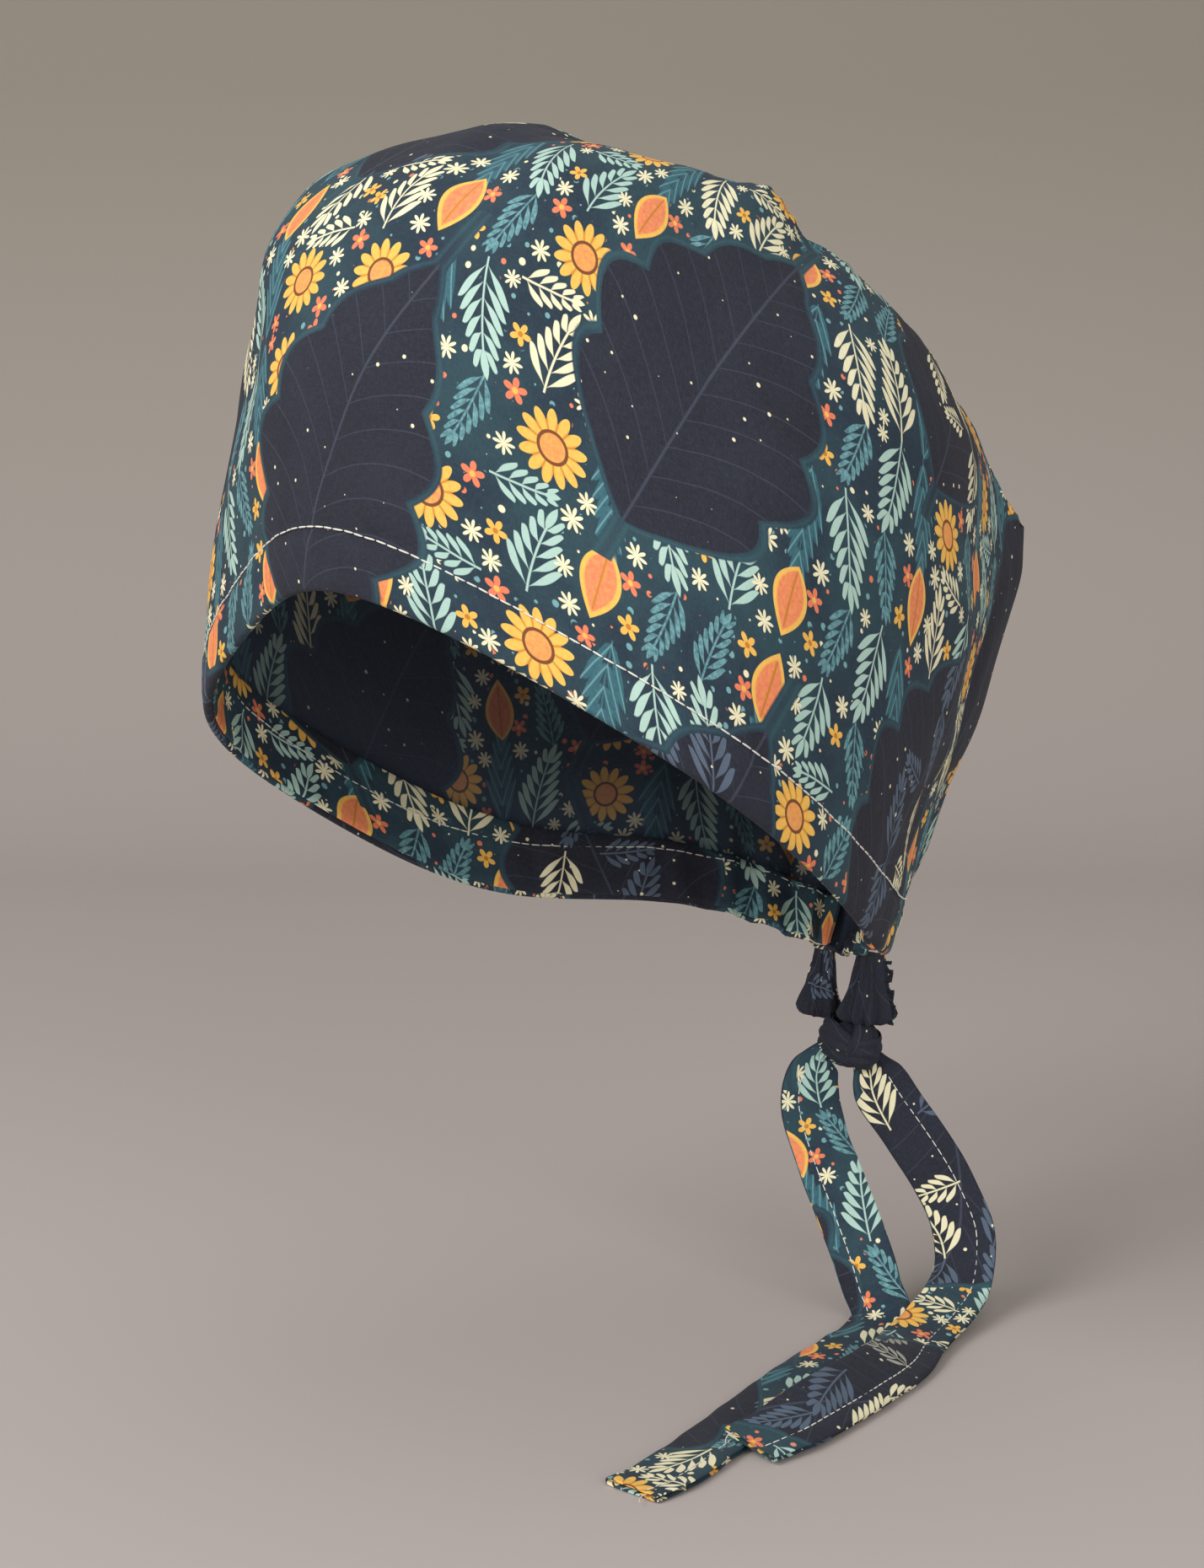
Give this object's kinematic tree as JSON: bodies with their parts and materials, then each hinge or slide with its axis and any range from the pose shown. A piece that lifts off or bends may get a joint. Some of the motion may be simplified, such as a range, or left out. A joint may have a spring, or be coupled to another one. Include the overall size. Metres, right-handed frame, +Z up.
{
  "type": "surgical scrub cap",
  "caption": "Surgical scrub cap of printed cotton, worn shape: oval crown over a deep side band, turned-up hem gathered at the nape, and flat ties knotted below it.",
  "frame": {"origin": "on the wearer's upright head axis, level with the hem at the middle of the forehead", "axes": "+Z up along the head axis, -Y towards the wearer's front, +X towards the wearer's left"},
  "size_m": [0.188, 0.2234, 0.3038],
  "materials": {
    "printed_cotton": "matte"
  },
  "bodies": {
    "root": {"side_band": "printed_cotton", "crown_panel": "printed_cotton", "tie_casing": "printed_cotton", "hem_end_left": "printed_cotton", "hem_end_right": "printed_cotton", "tie_knot": "printed_cotton", "tie_right": "printed_cotton", "tie_left": "printed_cotton"}
  },
  "joints": []
}
